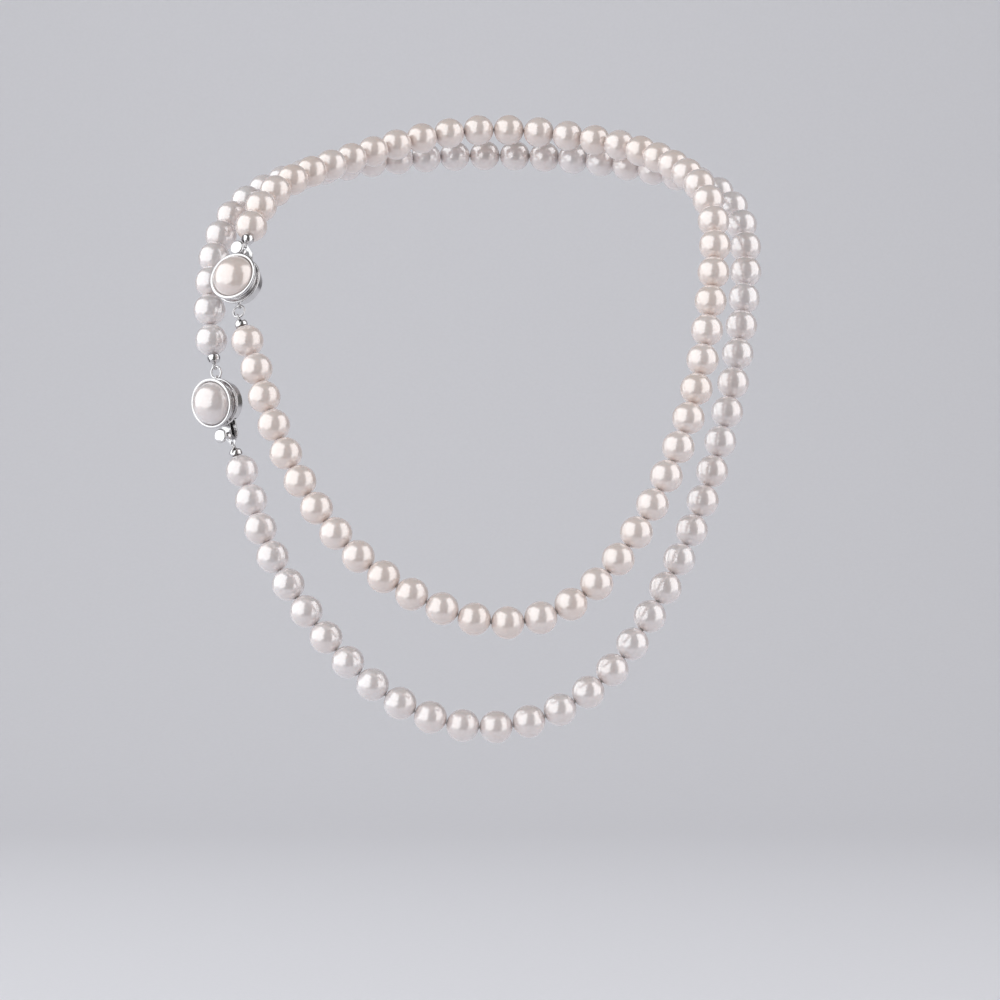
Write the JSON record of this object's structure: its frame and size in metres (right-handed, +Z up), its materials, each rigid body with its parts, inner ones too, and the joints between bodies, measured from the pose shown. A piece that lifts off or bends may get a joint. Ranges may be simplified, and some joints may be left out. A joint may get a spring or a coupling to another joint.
{
  "type": "pearl necklace",
  "caption": "Two rows of round pearls worn together, each a closed loop on silk thread joined by a round box clasp topped with a half pearl.",
  "frame": {"origin": "where the back of the inner row rests on the neck, at the middle of the nape", "axes": "+Z up, +Y to the back of the wearer, +X to the wearer's left"},
  "size_m": [0.1423, 0.1165, 0.1606],
  "materials": {
    "nacre": "glossy pearl lustre with a pink overtone",
    "silver_metal": "polished rhodium plate",
    "spring_metal": "polished rhodium plate on spring stock",
    "silk": "twisted silk"
  },
  "bodies": {
    "neck_part": {"inner_neck_pearls": "nacre", "inner_neck_thread": "silk", "outer_neck_pearls": "nacre", "outer_neck_thread": "silk"},
    "inner_side": {"inner_side_pearls": "nacre", "inner_side_thread": "silk"},
    "inner_upper": {"inner_upper_pearls": "nacre", "inner_upper_thread": "silk", "inner_tongue_bead_tip": "silver_metal", "inner_tongue_knot": "silk", "inner_tongue_blade": "silver_metal"},
    "inner_leaf": {"inner_spring_leaf": "spring_metal", "inner_thumb_stud": "silver_metal"},
    "inner_front": {"inner_front_pearls": "nacre", "inner_front_thread": "silk", "inner_box_bead_tip": "silver_metal", "inner_box_knot": "silk", "inner_box_wall": "silver_metal", "inner_box_floor": "silver_metal", "inner_box_lid": "silver_metal", "inner_box_lug": "silver_metal", "inner_bezel_cup": "silver_metal", "inner_half_pearl": "nacre", "inner_pearl_post": "silver_metal"},
    "inner_ring": {"inner_box_ring": "silver_metal"},
    "outer_side": {"outer_side_pearls": "nacre", "outer_side_thread": "silk"},
    "outer_upper": {"outer_upper_pearls": "nacre", "outer_upper_thread": "silk", "outer_box_bead_tip": "silver_metal", "outer_box_knot": "silk", "outer_box_wall": "silver_metal", "outer_box_floor": "silver_metal", "outer_box_lid": "silver_metal", "outer_box_lug": "silver_metal", "outer_bezel_cup": "silver_metal", "outer_half_pearl": "nacre", "outer_pearl_post": "silver_metal"},
    "outer_ring": {"outer_box_ring": "silver_metal"},
    "outer_front": {"outer_front_pearls": "nacre", "outer_front_thread": "silk", "outer_tongue_bead_tip": "silver_metal", "outer_tongue_knot": "silk", "outer_tongue_blade": "silver_metal"},
    "outer_leaf": {"outer_spring_leaf": "spring_metal", "outer_thumb_stud": "silver_metal"}
  },
  "joints": [
    {"name": "inner_row_lift", "type": "hinge", "parent": "neck_part", "child": "inner_side", "pos_m": [0.05161, -0.03367, -0.01493], "axis": [-0.9998, -0.0118, -0.0162], "range_deg": [0, 60]},
    {"name": "inner_clasp_side_lift", "type": "hinge", "parent": "neck_part", "child": "inner_upper", "pos_m": [-0.04866, -0.03485, -0.01655], "axis": [-0.9998, -0.0118, -0.0162], "range_deg": [0, 60]},
    {"name": "inner_clasp_opening", "type": "hinge", "parent": "inner_side", "child": "inner_front", "pos_m": [0.05586, -0.06492, -0.04899], "axis": [-0.4016, -0.8351, 0.3758], "range_deg": [0, 30]},
    {"name": "inner_thumb_press", "type": "hinge", "parent": "inner_upper", "child": "inner_leaf", "pos_m": [-0.06011, -0.06326, -0.04787], "axis": [0.9144, -0.3881, 0.1148], "range_deg": [-2, 3.2], "stiffness_Nm_per_rad": 0.02},
    {"name": "inner_ring_turn", "type": "hinge", "parent": "inner_front", "child": "inner_ring", "pos_m": [-0.0603, -0.0648, -0.05156], "axis": [-0.4016, -0.8351, 0.3758], "continuous": true},
    {"name": "outer_row_lift", "type": "hinge", "parent": "neck_part", "child": "outer_side", "pos_m": [0.06599, -0.04229, -0.04041], "axis": [-0.9898, -0.1196, -0.0773], "range_deg": [0, 20]},
    {"name": "outer_clasp_side_lift", "type": "hinge", "parent": "neck_part", "child": "outer_upper", "pos_m": [-0.06801, -0.05849, -0.05088], "axis": [-0.9898, -0.1196, -0.0773], "range_deg": [0, 20]},
    {"name": "outer_clasp_opening", "type": "hinge", "parent": "outer_side", "child": "outer_front", "pos_m": [0.06527, -0.04648, -0.04731], "axis": [-0.5538, -0.83, -0.0657], "range_deg": [0, 30]},
    {"name": "outer_thumb_press", "type": "hinge", "parent": "outer_front", "child": "outer_leaf", "pos_m": [-0.06517, -0.06363, -0.07048], "axis": [-0.8049, 0.5539, -0.2128], "range_deg": [-2, 3.2], "stiffness_Nm_per_rad": 0.02},
    {"name": "outer_ring_turn", "type": "hinge", "parent": "outer_upper", "child": "outer_ring", "pos_m": [-0.06601, -0.06334, -0.06658], "axis": [-0.5538, -0.83, -0.0657], "continuous": true}
  ],
  "couplings": [
    {"joint": "inner_clasp_side_lift", "follows": "inner_row_lift", "ratio": 1},
    {"joint": "outer_clasp_side_lift", "follows": "outer_row_lift", "ratio": 1}
  ]
}
